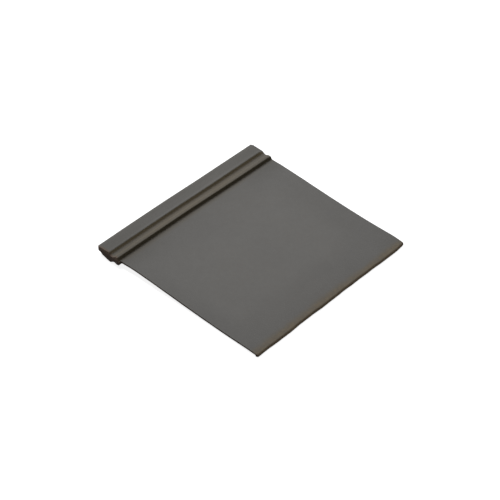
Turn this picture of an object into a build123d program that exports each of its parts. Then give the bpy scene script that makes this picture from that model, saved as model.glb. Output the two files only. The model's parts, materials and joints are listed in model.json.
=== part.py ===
from build123d import *
import os
from math import atan2, degrees

# Flat interlocking roof tile, moulded in one piece.
# Millimetres, +Z up. X runs across the tile, from the interlock at its head to the rolled lip
# at its foot. Y runs along the interlock. The tile is drawn with its slab level and the slab's
# top at height zero, and is then tipped to the attitude in which it lies unheld on a floor.

# Driving dimensions of the slab
TILE_WIDTH = 331.0            # across the interlock, from its outer edge to the lip
TILE_LENGTH = 327.0           # along the interlock
SLAB_THICKNESS = 3.0
SIDE_WAIST = 1.5              # how far the middle of each side edge draws in
FOOT_TAPER = 2.0              # how far each side edge has drawn in at the foot
NEAR_CORNER_RADIUS = 3.5      # the two corners of the foot, seen from above
FAR_CORNER_RADIUS = 9.0

# Driving dimensions of the rolled lip at the foot
LIP_DEPTH = 5.2               # from the slab's top down to the lip's tip
LIP_THICKNESS = 3.4
LIP_ROLL_RADIUS = 3.2
LIP_TIP_RADIUS = 1.2

# Driving dimensions of the interlock's upper side, at the head
TONGUE_LENGTH = 5.7           # how far the interlock stands out past the near side edge
TONGUE_CORNER_RADIUS = 5.0
TONGUE_MARGIN = 2.0           # slab that the tongue carries beside its inner ridge
OUTER_EDGE_TOP = 1.4
SHOULDER_PLACE = 6.0          # where the steep outer edge eases into the long slope
SHOULDER_HEIGHT = 3.9
OUTER_RIDGE_HEIGHT = 6.4
OUTER_RIDGE_EDGE = 27.2       # where the outer ridge turns down into the channel
CHANNEL_START = 30.4
CHANNEL_END = 35.4
CHANNEL_HEIGHT = 1.2          # floor of the channel between the two ridges
INNER_RIDGE_START = 42.4
INNER_RIDGE_FACE = 46.8       # steep face on the slab's side
INNER_RIDGE_HEIGHT = 6.2
FACE_BATTER = 0.4             # how far the steep face leans out at its foot

# Driving dimensions of the interlock's underside: a hook and a shorter inner leg
OUTER_EDGE_FOOT = -4.4
OUTER_EDGE_BATTER = 0.6       # how far the outer edge leans in at its foot
BACK_START = 8.6              # where the outer edge's underside turns down to the hook
BACK_START_HEIGHT = -5.4
BACK_END = 11.8
BACK_END_HEIGHT = -8.2
HOOK_DEPTH = 12.0
HOOK_PLACE = 29.6             # line on which the hook touches the floor
HOOK_SOLE_START = 25.0
HOOK_SOLE_END = 30.2
HOOK_SOLE_RISE = 0.3          # the sole's rise towards the outer edge
GROOVE_START = 36.4           # groove between hook and inner leg
GROOVE_START_HEIGHT = -7.4
GROOVE_END = 39.6
GROOVE_END_HEIGHT = -6.6
INNER_LEG_DEPTH = 8.2
INNER_LEG_START = 43.4
INNER_LEG_END = 47.2
INNER_LEG_RISE = 0.6          # the leg's rise towards the slab
SLAB_ROOT = 51.2              # where the slab's underside starts

NODE = "tile"


def interlock_top():
    """Corners of the upper side, from the outer edge to the slab, each with its radius."""
    return [
        ((0.0, OUTER_EDGE_TOP), 1.2),
        ((SHOULDER_PLACE, SHOULDER_HEIGHT), 12.0),
        ((OUTER_RIDGE_EDGE, OUTER_RIDGE_HEIGHT), 2.2),
        ((CHANNEL_START, CHANNEL_HEIGHT), 3.6),
        ((CHANNEL_END, CHANNEL_HEIGHT), 5.0),
        ((INNER_RIDGE_START, INNER_RIDGE_HEIGHT), 2.4),
        ((INNER_RIDGE_FACE, INNER_RIDGE_HEIGHT), 1.4),
        ((INNER_RIDGE_FACE + FACE_BATTER, 0.0), 1.8),
    ]


def foot_lip():
    """Corners of the rolled lip, round from the slab's top to its underside."""
    inner = TILE_WIDTH - LIP_THICKNESS
    return [
        ((TILE_WIDTH, 0.0), LIP_ROLL_RADIUS),
        ((TILE_WIDTH, -LIP_DEPTH), LIP_TIP_RADIUS),
        ((inner, -LIP_DEPTH), LIP_TIP_RADIUS),
        ((inner - LIP_TIP_RADIUS, -SLAB_THICKNESS), 1.5),
    ]


def interlock_underside():
    """Corners of the lower side, from the slab back to the outer edge."""
    return [
        ((SLAB_ROOT, -SLAB_THICKNESS), 2.0),
        ((INNER_LEG_END, INNER_LEG_RISE - INNER_LEG_DEPTH), 1.4),
        ((INNER_LEG_START, -INNER_LEG_DEPTH), 1.4),
        ((GROOVE_END, GROOVE_END_HEIGHT), 2.0),
        ((GROOVE_START, GROOVE_START_HEIGHT), 3.0),
        ((HOOK_SOLE_END, -HOOK_DEPTH), 1.8),
        ((HOOK_SOLE_START, HOOK_SOLE_RISE - HOOK_DEPTH), 4.0),
        ((BACK_END, BACK_END_HEIGHT), 3.0),
        ((BACK_START, BACK_START_HEIGHT), 2.0),
        ((OUTER_EDGE_BATTER, OUTER_EDGE_FOOT), 1.2),
    ]


def cross_section():
    """The whole tile cut across the interlock, as one closed face."""
    corners = interlock_top() + foot_lip() + interlock_underside()
    places = [place for place, radius in corners]
    radii = [radius for place, radius in corners]
    with BuildSketch(Plane.XZ) as section:
        with BuildLine():
            FilletPolyline(*places, radius=radii, close=True)
        make_face()
    return section.sketch


def plan_outline():
    """The tile seen from above: drawn-in sides, and the interlock's tongue past the near one."""
    tongue_side = INNER_RIDGE_FACE + TONGUE_MARGIN
    middle = (tongue_side + TILE_WIDTH) / 2
    near_foot = (TILE_WIDTH, FOOT_TAPER)
    far_foot = (TILE_WIDTH, TILE_LENGTH - FOOT_TAPER)
    with BuildSketch(Plane.XY) as plan:
        with BuildLine():
            Polyline((tongue_side, 0), (tongue_side, -TONGUE_LENGTH), (0, -TONGUE_LENGTH),
                     (0, TILE_LENGTH), (tongue_side, TILE_LENGTH))
            ThreePointArc((tongue_side, TILE_LENGTH), (middle, TILE_LENGTH - SIDE_WAIST),
                          far_foot)
            Line(far_foot, near_foot)
            ThreePointArc(near_foot, (middle, SIDE_WAIST), (tongue_side, 0))
        make_face()
        near_corner, far_corner = plan.vertices().group_by(Axis.X)[-1].sort_by(Axis.Y)
        fillet(near_corner, radius=NEAR_CORNER_RADIUS)
        fillet(far_corner, radius=FAR_CORNER_RADIUS)
        outer_near = plan.vertices().group_by(Axis.X)[0].sort_by(Axis.Y)[0]
        fillet(outer_near, radius=TONGUE_CORNER_RADIUS)
    return plan.sketch


def tile_level():
    """The tile with its slab level: the cross-section run along Y, trimmed to the plan."""
    run = extrude(cross_section(), amount=TONGUE_LENGTH + TILE_LENGTH, dir=(0, 1, 0))
    run = run.moved(Location((0, -TONGUE_LENGTH, 0)))
    trim = extrude(plan_outline(), amount=2 * HOOK_DEPTH, both=True)
    return run & trim


def lying_on_floor(tile):
    """The tile tipped so that hook and lip both touch the floor, its box over the origin."""
    lip_place = TILE_WIDTH - LIP_THICKNESS / 2
    lean = degrees(atan2(HOOK_DEPTH - LIP_DEPTH, lip_place - HOOK_PLACE))
    tipped = tile.rotate(Axis.Y, lean)
    box = tipped.bounding_box()
    return tipped.moved(Location((-box.center().X, -box.center().Y, -box.min.Z)))


def main():
    os.makedirs("parts", exist_ok=True)
    tile = lying_on_floor(tile_level())
    export_step(tile, os.path.join("parts", NODE + ".step"))


main()
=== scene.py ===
import json
import math

import bmesh
import bpy
from mathutils import Matrix, Vector


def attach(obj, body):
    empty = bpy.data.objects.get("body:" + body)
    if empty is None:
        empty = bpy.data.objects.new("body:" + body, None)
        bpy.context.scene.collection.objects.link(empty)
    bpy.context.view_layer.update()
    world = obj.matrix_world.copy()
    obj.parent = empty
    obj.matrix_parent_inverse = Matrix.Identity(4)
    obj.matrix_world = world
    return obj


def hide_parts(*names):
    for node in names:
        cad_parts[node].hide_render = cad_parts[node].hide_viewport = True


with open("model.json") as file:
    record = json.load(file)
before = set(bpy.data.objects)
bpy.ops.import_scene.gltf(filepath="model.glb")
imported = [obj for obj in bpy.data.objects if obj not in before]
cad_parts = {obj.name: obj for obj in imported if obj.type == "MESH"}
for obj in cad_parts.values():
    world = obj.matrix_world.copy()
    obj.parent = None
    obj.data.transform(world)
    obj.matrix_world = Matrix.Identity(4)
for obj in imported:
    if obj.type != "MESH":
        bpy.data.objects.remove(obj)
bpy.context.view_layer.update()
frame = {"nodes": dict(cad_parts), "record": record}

# Sizes of the tile, in metres
MM = 0.001
TILE_WIDTH = 331 * MM
TILE_LENGTH = 327 * MM
TONGUE_LENGTH = 5.7 * MM
RIDGE_HEIGHT = 6.4 * MM
RIDGE_FOOT = 50 * MM
HOOK_DEPTH = 12 * MM
LIP_DEPTH = 5.2 * MM

# The tile's own directions and its near head corner, taken from the lap face amid the slab
LAP_FACE = next(m for m in frame["record"]["mounts"] if m["name"] == "lap_face")
LAP_FACE_ACROSS = 190 * MM
SLAB_UP = Vector(LAP_FACE["axis"]).normalized()
ALONG = Vector((0, 1, 0))
ACROSS = ALONG.cross(SLAB_UP)
TILE_CORNER = Vector(LAP_FACE["pos_m"]) - ACROSS * LAP_FACE_ACROSS - ALONG * TILE_LENGTH / 2


def on_tile(across, along, up=0.0):
    """A place given from the tile's near head corner, in metres, as a place in the scene."""
    return TILE_CORNER + ACROSS * across + ALONG * along + SLAB_UP * up


# Camera
LENS = 127.10
SENSOR = 36.0
VIEW_AZIMUTH = 44.0773
VIEW_ELEVATION = 43.5068
VIEW_DISTANCE = 2664.48 * MM
AIM_ACROSS = 171.78 * MM
AIM_ALONG = 150.43 * MM


def make_camera():
    """The camera at the photograph's angle on the tile."""
    turn = math.radians(VIEW_AZIMUTH)
    rise = math.radians(VIEW_ELEVATION)
    back = (ACROSS * math.sin(turn) * math.cos(rise)
            - ALONG * math.cos(turn) * math.cos(rise)
            + SLAB_UP * math.sin(rise))
    right = ACROSS * math.cos(turn) + ALONG * math.sin(turn)
    data = bpy.data.cameras.new("camera")
    data.lens = LENS
    data.sensor_width = SENSOR
    camera = bpy.data.objects.new("camera", data)
    bpy.context.collection.objects.link(camera)
    facing = Matrix((right, back.cross(right), back)).transposed()
    place = on_tile(AIM_ACROSS, AIM_ALONG) + back * VIEW_DISTANCE
    camera.matrix_world = Matrix.Translation(place) @ facing.to_4x4()
    bpy.context.scene.camera = camera


# Shader maths

class Wire:
    """One output of a node. Arithmetic on it adds Math nodes."""

    def __init__(self, look, socket):
        self.look = look
        self.socket = socket

    def maths(self, operation, first, second):
        return self.look.node("ShaderNodeMath", {"operation": operation}, {0: first, 1: second})

    def __add__(self, other):
        return self.maths("ADD", self, other)

    def __radd__(self, other):
        return self.maths("ADD", other, self)

    def __sub__(self, other):
        return self.maths("SUBTRACT", self, other)

    def __rsub__(self, other):
        return self.maths("SUBTRACT", other, self)

    def __mul__(self, other):
        return self.maths("MULTIPLY", self, other)

    def __rmul__(self, other):
        return self.maths("MULTIPLY", other, self)

    def __neg__(self):
        return self.maths("MULTIPLY", self, -1.0)

    def __abs__(self):
        return self.maths("ABSOLUTE", self, 0.0)

    def __or__(self, other):
        """The larger of two masks."""
        return self.maths("MAXIMUM", self, other)


class Look:
    """The nodes of a material or of the world."""

    def __init__(self, owner):
        owner.use_nodes = True
        self.owner = owner
        self.tree = owner.node_tree

    def node(self, kind, settings=None, sockets=None, out=0):
        """A node of any kind: its settings first, then the values or wires of its sockets."""
        made = self.tree.nodes.new(kind)
        for name, value in (settings or {}).items():
            setattr(made, name, value)
        for name, value in (sockets or {}).items():
            self.feed(made.inputs[name], value)
        return Wire(self, made.outputs[out])

    def feed(self, socket, value):
        if isinstance(value, Wire):
            self.tree.links.new(value.socket, socket)
        else:
            socket.default_value = value

    def step(self, value, start, end):
        """0 below start and 1 above end, with a soft rise between."""
        return self.node("ShaderNodeMapRange", {"interpolation_type": "SMOOTHSTEP"},
                         {"Value": value, "From Min": start, "From Max": end})

    def within(self, value, rise, fall):
        """1 between a soft rise and a soft fall, and 0 outside them."""
        return self.step(value, *rise) * (1 - self.step(value, *fall))

    def blend(self, amount, first, second):
        return self.node("ShaderNodeMix", {"data_type": "RGBA"},
                         {0: amount, 6: first, 7: second}, out=2)

    def towards(self, vector, direction):
        """How far a vector reaches in one direction."""
        return self.node("ShaderNodeVectorMath", {"operation": "DOT_PRODUCT"},
                         {0: vector, 1: direction}, out=1)

    def noise(self, place, size, detail=2.0, rough=0.5, warp=0.0):
        """Soft noise from 0 to 1 with patches about as large as size, in metres."""
        return self.node("ShaderNodeTexNoise", None,
                         {"Vector": place, "Scale": 1 / size, "Detail": detail,
                          "Roughness": rough, "Distortion": warp})

    def squeezed(self, place, amounts):
        """A place squeezed in each direction, so that a pattern on it draws out in the others."""
        return self.node("ShaderNodeMapping", {"vector_type": "POINT"},
                         {"Vector": place, "Scale": amounts})

    def bump(self, height, depth, strength, under):
        """Relief of that depth, in metres, on top of what is under it."""
        sockets = {"Height": height, "Distance": depth, "Strength": strength}
        if under:
            sockets["Normal"] = under
        return self.node("ShaderNodeBump", None, sockets)


def colour(red, green, blue):
    return (red, green, blue, 1.0)


# Finishes

SURFACE_GREY = colour(0.134, 0.131, 0.126)
# Painted light: a paler grey for the slab's middle, a painted pool of light
PAINTED_LIGHT_GREY = colour(0.147, 0.144, 0.138)
OUTER_GREY = colour(0.113, 0.110, 0.104)
# Soil, also used for painted shade at the ridge's foot, towards the tile's ends and in the far
# foot corner
SOIL_AND_SHADE = colour(0.084, 0.080, 0.072)
WORN_GREY = colour(0.119, 0.104, 0.082)
LIP_WARM = colour(0.148, 0.124, 0.091)
LIP_WARM_DARK = colour(0.127, 0.110, 0.085)
WALL_BROWN = colour(0.160, 0.132, 0.086)
# Brown body on the inner ridge's steep face, darkened further as painted shade
FACE_BROWN_AND_SHADE = colour(0.078, 0.065, 0.041)
BODY_BROWN = colour(0.186, 0.141, 0.092)
BODY_BROWN_DARK = colour(0.114, 0.083, 0.056)
CUT_BROWN = colour(0.115, 0.082, 0.062)
# Painted shade: the dark brown low on the cut ends
CUT_BROWN_SHADED = colour(0.050, 0.035, 0.028)
DUST = colour(0.26, 0.24, 0.20)
SHEEN_LEVEL = 0.2

# Sizes of the patterns
CLOUD_SIZE = 90 * MM
MOTTLE_SIZE = 17 * MM
SCUFF_SIZE = 6 * MM
SPECK_SIZE = 2.2 * MM
GRAIN_SIZE = 0.7 * MM
FLOW_SIZE = 60 * MM
FLOW_SQUEEZE = (14.0, 1.0, 14.0)

# Depth and strength of the relief that each pattern leaves
CLOUD_RELIEF = (0.5 * MM, 0.2)
FLOW_RELIEF = (0.06 * MM, 0.3)
SCUFF_RELIEF = (0.2 * MM, 0.3)
SPECK_RELIEF = (0.3 * MM, 0.8)
GRAIN_RELIEF = (0.2 * MM, 0.9)

# Where finishes come in or go out across the tile
OUTER_BAND_END = (21 * MM, 26 * MM)
OUTER_EDGE_END = (6 * MM, 18 * MM)
WORN_START, WORN_END = (27 * MM, 31 * MM), (47 * MM, 60 * MM)
INNER_WALL_START = (36 * MM, 42 * MM)
# Painted shade along the inner ridge's foot
FOOT_SHADE_START, FOOT_SHADE_END = (46 * MM, 48.5 * MM), (50 * MM, 56 * MM)
ROOT_END = (50 * MM, 92 * MM)
MIDDLE_START, MIDDLE_END = (80 * MM, 140 * MM), (245 * MM, 285 * MM)
WARM_START = (307 * MM, 326 * MM)
LIP_FACE_START = (322 * MM, 327 * MM)

# Where they do so along it, and at the far corner of the foot in both ways
NEAR_SHADE_END = (10 * MM, 115 * MM)
FAR_SHADE_START = (225 * MM, 320 * MM)
PALE_START, PALE_END = (0, 45 * MM), (255 * MM, 305 * MM)
FAR_FOOT_ACROSS, FAR_FOOT_ALONG = (255 * MM, 320 * MM), (275 * MM, 325 * MM)
FRAY_END = (2.6 * MM, 6.2 * MM)
FRAY_UNEVENNESS = 3 * MM

# Heights between which a cut end turns from dark painted shade low down to brown
CUT_SHADE = (-1.5 * MM, 8 * MM)
CUT_UNEVENNESS = 6 * MM

# How the patterns are spread into masks, from none to full
CLOUD_SPREAD = (0.36, 0.66)
MOTTLE_SPREAD = (0.3, 0.7)
SCUFF_SPREAD = (0.38, 0.62)
SPECK_SPREAD = (0.62, 0.74)
WORN_SPREAD = (0.35, 0.75)
WARM_SPREAD = (0.8, 1.58)
BODY_SPREAD = (0.30, 0.68)

# How much each pattern sways a mask
WORN_MOTTLE, WORN_FLOW = 0.5, 0.6
WARM_PLACE, WARM_CLOUDS, WARM_MOTTLE, WARM_SCUFFS = 0.75, 0.8, 0.4, 0.2
BODY_MOTTLE, BODY_SCUFFS, BODY_SPECKS, BODY_GRAIN = 0.35, 0.25, 0.2, 0.2

# How far a face has to turn before it counts as steep, as a cut end or as the underside
STEEP_TURN = (0.5, 0.85)
LIP_TURN = (0.3, 0.8)
CUT_TURN = (0.45, 0.75)
UNDER_TURN = (0.05, 0.45)

# How much of each layer shows
CLOUD_SHARE = 0.03
MOTTLE_SHARE = 0.05
SCUFF_SHARE = 0.06
SOIL_AND_SHADE_SHARE = 0.4
# Share of the painted shade over the interlock's root away from both ends
SHADE_AWAY_FROM_ENDS = 0.25
FOOT_SHADE_SHARE = 0.3
FAR_FOOT_SHADE_SHARE = 0.2
WORN_LEAST, WORN_EXTRA = 0.72, 0.4
DUST_SHARE = 0.12
FRAY_SHARE = 0.7

# Roughness of the surface, and what specks, mottle and bare body add to it
ROUGHNESS = 0.80
ROUGHER_SPECKS, ROUGHER_MOTTLE, ROUGHER_BODY = 0.08, 0.06, 0.04


def moulded_finish():
    """Dark grey surface over a brown moulded body that shows on edges and worn places, with a
    painted pool of light in the slab's middle and painted shade at the ridge's foot, towards the
    ends and low on the cut ends.
    """
    look = Look(bpy.data.materials.new("moulded_body"))
    place = look.node("ShaderNodeTexCoord", out="Object")
    facing = look.node("ShaderNodeNewGeometry", out="Normal")
    from_corner = look.node("ShaderNodeVectorMath", {"operation": "SUBTRACT"},
                            {0: place, 1: TILE_CORNER})
    across = look.towards(from_corner, ACROSS)
    along = look.towards(from_corner, ALONG)
    up = look.towards(from_corner, SLAB_UP)
    up_facing = look.towards(facing, SLAB_UP)
    foot_facing = look.towards(facing, ACROSS)
    side_facing = abs(look.towards(facing, ALONG))

    # The patterns that colour, roughness and relief share
    clouds = look.noise(place, CLOUD_SIZE, detail=3.0)
    mottle = look.noise(place, MOTTLE_SIZE, detail=4.0, rough=0.6)
    scuffs = look.noise(place, SCUFF_SIZE, detail=3.0, rough=0.6, warp=0.4)
    specks = look.noise(place, SPECK_SIZE)
    grain = look.noise(place, GRAIN_SIZE, detail=3.0, rough=0.65)
    flow = look.noise(look.squeezed(place, FLOW_SQUEEZE), FLOW_SIZE, detail=3.0)

    # Grey surface, a little paler in the slab's middle as a painted pool of light, and darker on
    # the outer ridge
    middle = (look.within(across, MIDDLE_START, MIDDLE_END)
              * look.within(along, PALE_START, PALE_END))
    tone = look.blend(middle, SURFACE_GREY, PAINTED_LIGHT_GREY)
    tone = look.blend(1 - look.step(across, *OUTER_BAND_END), tone, OUTER_GREY)

    # Faint patches of dust and of soil
    tone = look.blend(look.step(clouds, *CLOUD_SPREAD) * CLOUD_SHARE, tone, DUST)
    tone = look.blend(look.step(mottle, *MOTTLE_SPREAD) * MOTTLE_SHARE, tone, SOIL_AND_SHADE)
    tone = look.blend(look.step(scuffs, *SCUFF_SPREAD) * SCUFF_SHARE, tone, SOIL_AND_SHADE)

    # Thin, warm surface on the inner ridge, in the channel beside it and at the slab's root
    worn = look.step(WORN_MOTTLE * mottle + WORN_FLOW * flow, *WORN_SPREAD)
    worn = look.within(across, WORN_START, WORN_END) * (WORN_LEAST + WORN_EXTRA * worn)
    tone = look.blend(worn, tone, WORN_GREY)

    # Soil on the outer edge; painted shade at the ridge's foot, towards both ends of the interlock
    # and at the far foot corner
    ends = (1 - look.step(along, *NEAR_SHADE_END)) | look.step(along, *FAR_SHADE_START)
    # Painted shade over the interlock and the slab's root, strongest towards both ends
    root = 1 - look.step(across, *ROOT_END)
    root *= SHADE_AWAY_FROM_ENDS + (1 - SHADE_AWAY_FROM_ENDS) * ends
    edge = 1 - look.step(across, *OUTER_EDGE_END)
    tone = look.blend((root | edge) * SOIL_AND_SHADE_SHARE, tone, SOIL_AND_SHADE)
    # Painted shade: a dark line at the inner ridge's foot
    foot_shade = look.within(across, FOOT_SHADE_START, FOOT_SHADE_END)
    tone = look.blend(foot_shade * FOOT_SHADE_SHARE, tone, SOIL_AND_SHADE)
    # Painted shade darkening the slab's far corner by the lip
    far_foot_shade = look.step(across, *FAR_FOOT_ACROSS) * look.step(along, *FAR_FOOT_ALONG)
    tone = look.blend(far_foot_shade * FAR_FOOT_SHADE_SHARE, tone, SOIL_AND_SHADE)

    # Warm patches that thicken towards the lip, where the brown shows through
    near_lip = look.step(across, *WARM_START)
    patchy = (near_lip * WARM_PLACE + clouds * WARM_CLOUDS + mottle * WARM_MOTTLE
              + scuffs * WARM_SCUFFS)
    warm = look.blend(look.step(scuffs, *SCUFF_SPREAD), LIP_WARM_DARK, LIP_WARM)
    tone = look.blend(near_lip * look.step(patchy, *WARM_SPREAD), tone, warm)
    tone = look.blend(look.step(specks, *SPECK_SPREAD) * DUST_SHARE, tone, DUST)

    # Bare brown body: the lip's face, the underside, and thin cover on steep faces, darkened on
    # the inner ridge's steep face as painted shade
    body = (BODY_MOTTLE * mottle + BODY_SCUFFS * scuffs + BODY_SPECKS * specks
            + BODY_GRAIN * grain)
    brown = look.blend(look.step(body, *BODY_SPREAD), BODY_BROWN_DARK, BODY_BROWN)
    at_lip = look.step(across, *LIP_FACE_START)
    lip_face = look.step(foot_facing, *LIP_TURN) * at_lip
    under = look.step(-up_facing, *UNDER_TURN)
    steep = look.step(abs(foot_facing), *STEEP_TURN) * (1 - at_lip)
    # The inner ridge's steep faces take the darker brown as painted shade
    steep_brown_and_shade = look.blend(look.step(across, *INNER_WALL_START), WALL_BROWN, FACE_BROWN_AND_SHADE)
    tone = look.blend(steep, tone, steep_brown_and_shade)
    tone = look.blend(lip_face | under, tone, brown)

    # Cut ends, darker low down as painted shade, with the surface frayed back from the near one
    cut = look.blend(look.step(up + CUT_UNEVENNESS * scuffs, *CUT_SHADE),
                     CUT_BROWN_SHADED, CUT_BROWN)
    frayed = look.step(FRAY_UNEVENNESS * scuffs - along, *FRAY_END) * FRAY_SHARE
    on_cut = look.step(side_facing, *CUT_TURN)
    tone = look.blend(frayed, tone, CUT_BROWN)
    tone = look.blend(on_cut, tone, cut)

    roughness = (ROUGHNESS + ROUGHER_SPECKS * specks + ROUGHER_MOTTLE * mottle
                 + ROUGHER_BODY * (on_cut | under))

    # Fine relief: each pattern on top of the last
    relief = None
    for pattern, (depth, strength) in ((clouds, CLOUD_RELIEF), (flow, FLOW_RELIEF),
                                       (scuffs, SCUFF_RELIEF), (specks, SPECK_RELIEF),
                                       (grain, GRAIN_RELIEF)):
        relief = look.bump(pattern, depth, strength, relief)

    surface = look.tree.nodes["Principled BSDF"].inputs
    look.feed(surface["Base Color"], tone)
    look.feed(surface["Roughness"], roughness)
    look.feed(surface["Normal"], relief)
    look.feed(surface["Specular IOR Level"], SHEEN_LEVEL)
    return look.owner


# Shaping: how the CAD copy is cleaned, rounded, cut into stations and shaded

MERGE_GAP = 0.01 * MM
SLIVER_GAP = 0.002 * MM
FLAT_ANGLE = math.radians(0.6)
EDGE_ROUND = 0.7 * MM
EDGE_ROUND_STEPS = 3
SHARP_EDGE = math.radians(62)
SIDE_TURN = 0.7
SMOOTH_ANGLE = math.radians(38)
ACROSS_STATION = 9 * MM
ALONG_STATION = 4 * MM

# Points of each warp's cage: across, along and up
SLAB_CAGE = (34, 20, 2)
FACE_CAGE = (10, 8, 2)
LIP_CAGE = (6, 64, 2)
TONGUE_CAGE = (14, 9, 2)
CREST_CAGE = (8, 5, 2)
BREAK_CAGE = (18, 5, 2)

# How far the slab hangs down, place by place across the tile in mm, and how far the ridges lean
SLAB_SAG = ((50, 0.0), (80, 0.4), (115, 0.6), (145, 1.4), (180, 2.1), (215, 2.4), (250, 2.2),
            (270, 1.7), (290, 0.8), (308, 0.0))
LEAN_FADE = (60 * MM, 280 * MM)
LEAN_STAGES = ((125 * MM, 225 * MM, 1.1 * MM), (225 * MM, 327 * MM, 0.35 * MM))
EDGE_DRAW = 0.5 * MM
EDGE_DRAW_END = 60 * MM
EDGE_DRAW_FADE = 20 * MM

# The lip's edge is drawn in unevenly: length, depth and start of each slow wave
LIP_START, LIP_FULL = 318 * MM, 329 * MM
LIP_DRAW = 0.44 * MM
LIP_WAVES = ((625 * MM, 1.0 * MM, 5.74), (106 * MM, 0.27 * MM, 1.5), (75 * MM, 0.22 * MM, 5.49),
             (33 * MM, 0.16 * MM, 3.38), (13 * MM, 0.09 * MM, 1.1))
NEAR_EASE, NEAR_EASE_END = 0.8 * MM, 5 * MM
FAR_EASE, FAR_EASE_START = 1.0 * MM, 302 * MM
FAR_TIP, FAR_TIP_START = 1.2 * MM, 318 * MM

# The inner ridge's steep face leans back at the near end and its foot spreads at the far end
FACE_SPAN = (38 * MM, 56 * MM)
FACE_CORE = (44 * MM, 49 * MM)
FACE_TURN = (150 * MM, 300 * MM)
FACE_BACK = 1.0 * MM
FACE_SPREAD = 1.3 * MM

# The near side edge swings out to meet the tongue, whose own side swells
FLARE_START, FLARE_END = 46 * MM, 72 * MM
FLARE_OUT = 2.0 * MM
FLARE_ROOT = -1 * MM
FLARE_FADE = 9 * MM
FLARE_CAGE_END = 10 * MM
TONGUE_SWELL = 1.0 * MM
SWELL_END = 3 * MM

# Both ridges' crests are worn down at the far end: where the wear rises and falls across, where
# it starts along, and its depth
OUTER_CREST = ((20 * MM, 29 * MM), (29 * MM, 33 * MM), 319 * MM, 2.6 * MM)
INNER_CREST = ((37 * MM, 43 * MM), (49 * MM, 52 * MM), 320 * MM, 1.8 * MM)
CREST_LOWEST = 2.5 * MM

# Round the inner ridge the far end is also broken back a little
BREAK_RISE, BREAK_FALL = (33 * MM, 38 * MM), (56 * MM, 67 * MM)
BREAK_START = 319 * MM
BREAK_BACK = 1.0 * MM


def deselect_all():
    for thing in bpy.context.selected_objects:
        thing.select_set(False)


def make_active(thing):
    deselect_all()
    thing.select_set(True)
    bpy.context.view_layer.objects.active = thing


def take_copy(source, name):
    """A copy of a CAD piece with its loose triangles joined, selected and active."""
    piece = bpy.data.objects.new(name, source.data.copy())
    bpy.context.collection.objects.link(piece)
    make_active(piece)
    bpy.ops.object.mode_set(mode="EDIT")
    bpy.ops.mesh.select_mode(type="VERT")
    bpy.ops.mesh.select_all(action="SELECT")
    bpy.ops.mesh.remove_doubles(threshold=MERGE_GAP)
    bpy.ops.mesh.dissolve_limited(angle_limit=FLAT_ANGLE)
    bpy.ops.object.mode_set(mode="OBJECT")
    return piece


def is_side_edge(edge):
    """Whether an edge is a sharp one round the tile's two side faces."""
    if len(edge.link_faces) != 2 or edge.calc_face_angle() < SHARP_EDGE:
        return False
    turned = [abs(face.normal.dot(ALONG)) for face in edge.link_faces]
    return max(turned) > SIDE_TURN > min(turned)


def round_side_edges(piece):
    """Rounds the sharp edges that the trimming of the moulding leaves."""
    bpy.ops.object.mode_set(mode="EDIT")
    bpy.ops.mesh.select_mode(type="EDGE")
    bpy.ops.mesh.select_all(action="DESELECT")
    mesh = bmesh.from_edit_mesh(piece.data)
    for edge in mesh.edges:
        edge.select = is_side_edge(edge)
    bmesh.update_edit_mesh(piece.data)
    bpy.ops.mesh.bevel(offset=EDGE_ROUND, segments=EDGE_ROUND_STEPS, clamp_overlap=True)
    bpy.ops.object.mode_set(mode="OBJECT")


def cut_stations(piece, direction, start, end, spacing):
    """Cuts the piece into even stations, so that it can be warped, and drops the slivers left."""
    bpy.ops.object.mode_set(mode="EDIT")
    count = round((end - start) / spacing)
    for step in range(1, count):
        bpy.ops.mesh.select_all(action="SELECT")
        place = TILE_CORNER + direction * (start + (end - start) * step / count)
        bpy.ops.mesh.bisect(plane_co=place, plane_no=direction)
    bpy.ops.mesh.select_all(action="SELECT")
    bpy.ops.mesh.dissolve_degenerate(threshold=SLIVER_GAP)
    bpy.ops.object.mode_set(mode="OBJECT")


def ease(value, start, end):
    """0 before start and 1 after end, with a soft rise between."""
    share = min(max((value - start) / (end - start), 0), 1)
    return share * share * (3 - 2 * share)


def sag_at(across):
    """How far the slab hangs down at a place across the tile."""
    for (start, low), (end, high) in zip(SLAB_SAG, SLAB_SAG[1:]):
        if start * MM <= across <= end * MM:
            return (low + (high - low) * ease(across, start * MM, end * MM)) * MM
    return 0


def lean_at(across, along):
    """How far the interlock stands in towards the slab at a place on it."""
    far = sum(lean * ease(along, start, end) for start, end, lean in LEAN_STAGES)
    near = EDGE_DRAW * (1 - ease(along, 0, EDGE_DRAW_END)) * (1 - ease(across, 0, EDGE_DRAW_FADE))
    return far * (1 - ease(across, *LEAN_FADE)) + near


def warp(piece, start, end, counts, shift_at):
    """Moves a piece with a cage of points that stands square to the tile.

    start and end are opposite corners of the cage and shift_at gives the move at a place,
    all across, along and up. What lies past a side of the cage moves as that side does.
    """
    start, end = Vector(start), Vector(end)
    middle, size = (start + end) / 2, end - start
    deselect_all()
    bpy.ops.object.add(type="LATTICE")
    cage = bpy.context.active_object
    cage.data.points_u, cage.data.points_v, cage.data.points_w = counts
    for direction in "uvw":
        setattr(cage.data, "interpolation_type_" + direction, "KEY_LINEAR")
    square = Matrix((ACROSS, ALONG, SLAB_UP)).transposed().to_4x4()
    cage.matrix_world = Matrix.Translation(on_tile(*middle)) @ square @ Matrix.Diagonal((*size, 1))
    for point in cage.data.points:
        shift = shift_at(*(middle + point.co * size))
        point.co_deform = [c + d / s for c, d, s in zip(point.co, shift, size)]
    bpy.context.view_layer.update()
    modifier = piece.modifiers.new("warp", "LATTICE")
    modifier.object = cage
    make_active(piece)
    bpy.ops.object.modifier_apply(modifier="warp")
    bpy.data.objects.remove(cage)


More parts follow.
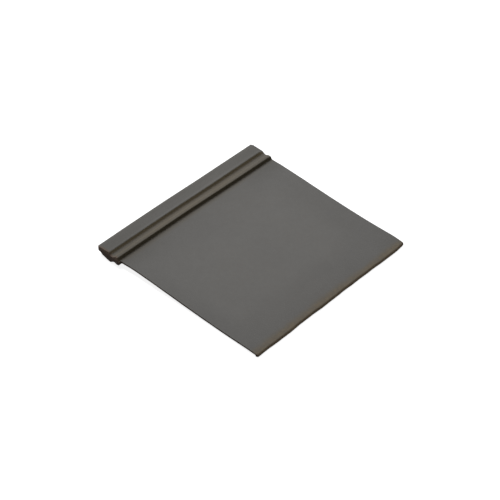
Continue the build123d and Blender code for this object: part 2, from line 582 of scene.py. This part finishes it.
def hang_slab(piece):
    """Lets the slab hang between ridge and lip, and the ridges lean, as on the real tile."""
    def shift_at(across, along, up):
        return (lean_at(across, along), 0, -sag_at(across))
    warp(piece, (0, -TONGUE_LENGTH, -HOOK_DEPTH), (TILE_WIDTH, TILE_LENGTH, RIDGE_HEIGHT),
         SLAB_CAGE, shift_at)


def lean_face(piece):
    """Leans the inner ridge's steep face back at the near end, and spreads its foot at the far."""
    def shift_at(across, along, up):
        on_face = (ease(across, FACE_SPAN[0], FACE_CORE[0])
                   * (1 - ease(across, FACE_CORE[1], FACE_SPAN[1])))
        far = ease(along, *FACE_TURN)
        shift = -FACE_BACK * (1 - far) if up > RIDGE_HEIGHT / 2 else FACE_SPREAD * far
        return (on_face * shift, 0, 0)
    warp(piece, (FACE_SPAN[0], -TONGUE_LENGTH, 0), (FACE_SPAN[1], TILE_LENGTH, RIDGE_HEIGHT),
         FACE_CAGE, shift_at)


def lip_draw_at(along):
    """How far the lip's edge is drawn in at a place along it."""
    waves = sum(depth * math.sin(math.tau * along / length + start)
                for length, depth, start in LIP_WAVES)
    corners = (NEAR_EASE * (1 - ease(along, 0, NEAR_EASE_END))
               + FAR_EASE * ease(along, FAR_EASE_START, TILE_LENGTH)
               + FAR_TIP * ease(along, FAR_TIP_START, TILE_LENGTH))
    return max(LIP_DRAW + waves + corners, 0)


def draw_in_lip(piece):
    """Draws the lip's edge in unevenly, and its far corner in both ways."""
    def shift_at(across, along, up):
        reach = ease(across, LIP_START, LIP_FULL)
        tip = FAR_TIP * ease(along, FAR_TIP_START, TILE_LENGTH)
        return (-reach * lip_draw_at(along), -reach * tip, 0)
    warp(piece, (LIP_START, 0, -LIP_DEPTH), (TILE_WIDTH, TILE_LENGTH, 0), LIP_CAGE, shift_at)


def flare_tongue(piece):
    """Swings the near side edge out beside the tongue, and swells the tongue's own side."""
    def shift_at(across, along, up):
        inner = ease(across, FLARE_START, RIDGE_FOOT)
        inward = 1 - ease(along, 0, FLARE_FADE)
        beside = inner * min(1, (FLARE_END - across) / (FLARE_END - RIDGE_FOOT))
        out = FLARE_OUT * beside * inward * ease(along, -TONGUE_LENGTH, FLARE_ROOT)
        swell = TONGUE_SWELL * inner * (1 - ease(along, FLARE_ROOT, SWELL_END))
        return (swell, -out, 0)
    warp(piece, (FLARE_START, -TONGUE_LENGTH, -HOOK_DEPTH), (FLARE_END, FLARE_CAGE_END, 0),
         TONGUE_CAGE, shift_at)


def wear_far_crest(piece, rise, fall, along_start, depth):
    """Wears a ridge's crest down over its last few millimetres."""
    def shift_at(across, along, up):
        share = ease(across, *rise) * (1 - ease(across, *fall))
        share *= ease(along, along_start, TILE_LENGTH)
        return (0, 0, -depth * share if up > (CREST_LOWEST + RIDGE_HEIGHT) / 2 else 0)
    warp(piece, (rise[0], along_start, CREST_LOWEST), (fall[1], TILE_LENGTH, RIDGE_HEIGHT),
         CREST_CAGE, shift_at)


def break_far_end(piece):
    """Sets the far end back a little round the inner ridge."""
    def shift_at(across, along, up):
        share = ease(across, *BREAK_RISE) * (1 - ease(across, *BREAK_FALL))
        return (0, -BREAK_BACK * share * ease(along, BREAK_START, TILE_LENGTH), 0)
    warp(piece, (BREAK_RISE[0], BREAK_START, -HOOK_DEPTH),
         (BREAK_FALL[1], TILE_LENGTH, RIDGE_HEIGHT), BREAK_CAGE, shift_at)


def smooth(piece):
    """Shades the tile's curves smooth and keeps its sharp edges sharp."""
    bpy.ops.object.shade_smooth_by_angle(angle=SMOOTH_ANGLE)
    weigh = piece.modifiers.new("weigh", "WEIGHTED_NORMAL")
    weigh.keep_sharp = True
    bpy.ops.object.modifier_apply(modifier="weigh")


def shape_tile():
    """The tile's visible piece, from a copy of its CAD solid."""
    tile = take_copy(frame["nodes"]["tile"], "moulded_tile")
    round_side_edges(tile)
    cut_stations(tile, ALONG, -TONGUE_LENGTH, TILE_LENGTH, ALONG_STATION)
    cut_stations(tile, ACROSS, RIDGE_FOOT, LIP_START, ACROSS_STATION)
    hang_slab(tile)
    lean_face(tile)
    draw_in_lip(tile)
    flare_tongue(tile)
    wear_far_crest(tile, *OUTER_CREST)
    wear_far_crest(tile, *INNER_CREST)
    break_far_end(tile)
    smooth(tile)
    tile.data.materials.clear()
    tile.data.materials.append(moulded_finish())
    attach(tile, "root")
    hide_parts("tile")


# Studio

FLOOR_SIZE = 6.0
FLOOR_GREY = colour(0.45, 0.45, 0.45)
WHITE = colour(1, 1, 1)
FLOOR_OWN_LIGHT = 0.86
KEY_SIZE = 1.2
KEY_POWER = 33.4
KEY_DISTANCE = 1.9
KEY_RISE = math.radians(58)
KEY_TURN = math.radians(160)
FILL_LEVEL = 0.16


def seen_directly(look):
    """1 for what the camera, a reflection or clear glass shows, and 0 for light that bounces."""
    seen = look.node("ShaderNodeLightPath", out="Is Camera Ray")
    path = seen.socket.node
    for name in ("Is Glossy Ray", "Is Transmission Ray"):
        seen = seen | Wire(look, path.outputs[name])
    return seen


def make_floor():
    """A pale floor that reads as white and keeps the tile's shadow."""
    bpy.ops.mesh.primitive_plane_add(size=FLOOR_SIZE, location=(0, 0, 0))
    floor = bpy.context.active_object
    floor.name = "floor"
    look = Look(bpy.data.materials.new("floor"))
    plain = look.node("ShaderNodeBsdfDiffuse", None, {"Color": FLOOR_GREY})
    glow = look.node("ShaderNodeEmission", None, {"Color": WHITE, "Strength": FLOOR_OWN_LIGHT})
    both = look.node("ShaderNodeAddShader", None, {0: plain, 1: glow})
    shown = look.node("ShaderNodeMixShader", None, {0: seen_directly(look), 1: plain, 2: both})
    look.feed(look.tree.nodes["Material Output"].inputs["Surface"], shown)
    look.tree.nodes.remove(look.tree.nodes["Principled BSDF"])
    floor.data.materials.append(look.owner)


def make_lamp():
    """One large soft lamp behind and to the left."""
    towards = Vector((math.cos(KEY_RISE) * math.cos(KEY_TURN),
                      math.cos(KEY_RISE) * math.sin(KEY_TURN),
                      math.sin(KEY_RISE)))
    data = bpy.data.lights.new("key", "AREA")
    data.shape = "DISK"
    data.size = KEY_SIZE
    data.energy = KEY_POWER
    key = bpy.data.objects.new("key", data)
    bpy.context.collection.objects.link(key)
    aim = towards.to_track_quat("Z", "Y").to_matrix().to_4x4()
    place = on_tile(TILE_WIDTH / 2, TILE_LENGTH / 2) + towards * KEY_DISTANCE
    key.matrix_world = Matrix.Translation(place) @ aim


def make_world():
    """Weak light from all round, and a plain white that only the camera and reflections see."""
    world = bpy.data.worlds.new("world")
    bpy.context.scene.world = world
    look = Look(world)
    sky = look.tree.nodes["Background"].inputs
    look.feed(sky["Color"], WHITE)
    look.feed(sky["Strength"], FILL_LEVEL + (1 - FILL_LEVEL) * seen_directly(look))


shape_tile()
make_floor()
make_lamp()
make_world()
make_camera()
bpy.context.scene.view_settings.view_transform = "Standard"
